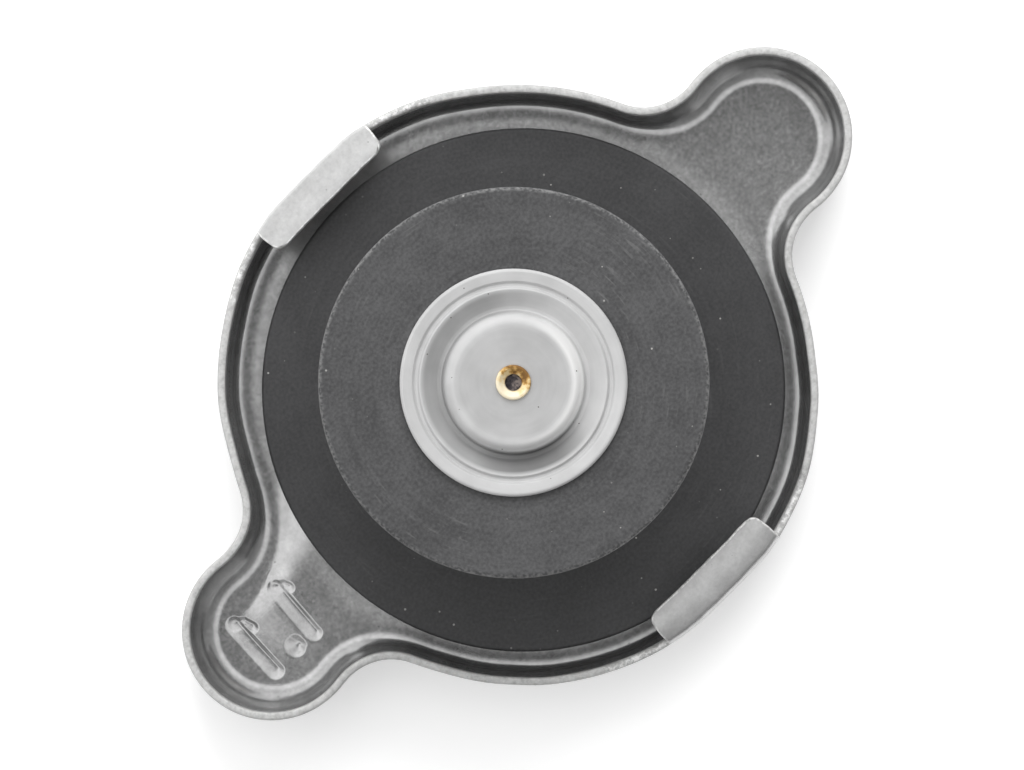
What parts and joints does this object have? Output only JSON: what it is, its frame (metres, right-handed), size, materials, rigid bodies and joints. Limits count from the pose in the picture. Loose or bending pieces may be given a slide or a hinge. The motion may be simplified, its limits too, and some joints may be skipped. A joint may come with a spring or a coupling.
{
  "type": "radiator cap",
  "caption": "Stamped steel radiator cap with hollow ears, folded locking lugs, an upper gasket and a spring-loaded pressure valve with a vacuum valve in its middle.",
  "frame": {"origin": "middle of the crown's outer face, where the cap's axis meets the surface it lies on", "axes": "+X through the plain ear, +Y through one locking lug, +Z along the cap's axis from the crown to the valve end"},
  "size_m": [0.095, 0.065, 0.0294],
  "materials": {
    "shell_steel": "plated, satin",
    "rivet_steel": "plated, satin",
    "spring_steel": "drawn wire and strip",
    "cage_steel": "stamped, satin",
    "upper_rubber": "smooth, matt",
    "lower_rubber": "matt, dusty",
    "valve_metal": "satin",
    "stem_brass": "rolled, satin"
  },
  "bodies": {
    "shell": {"cap_shell": "shell_steel"},
    "valve_unit": {"centre_rivet": "rivet_steel", "disc_spring": "spring_steel", "upper_gasket": "upper_rubber", "valve_cage": "cage_steel", "main_spring": "spring_steel"},
    "pressure_valve": {"guide_cup": "cage_steel", "pressure_plate": "cage_steel", "lower_gasket": "lower_rubber", "vacuum_spring": "spring_steel"},
    "vacuum_valve": {"vacuum_valve": "valve_metal", "vacuum_stem": "stem_brass", "spring_washer": "rivet_steel"}
  },
  "joints": [
    {"name": "unit_swivel", "type": "hinge", "parent": "shell", "child": "valve_unit", "pos_m": [0, 0, 0.0025], "axis": [0, 0, 1], "continuous": true},
    {"name": "pressure_valve_slide", "type": "slide", "parent": "valve_unit", "child": "pressure_valve", "axis": [0, 0, -1], "range_m": [0, 0.004], "stiffness_N_per_m": 3000, "deforming": ["main_spring"]},
    {"name": "vacuum_valve_slide", "type": "slide", "parent": "pressure_valve", "child": "vacuum_valve", "axis": [0, 0, 1], "range_m": [0, 0.0025], "stiffness_N_per_m": 280, "deforming": ["vacuum_spring"]}
  ]
}
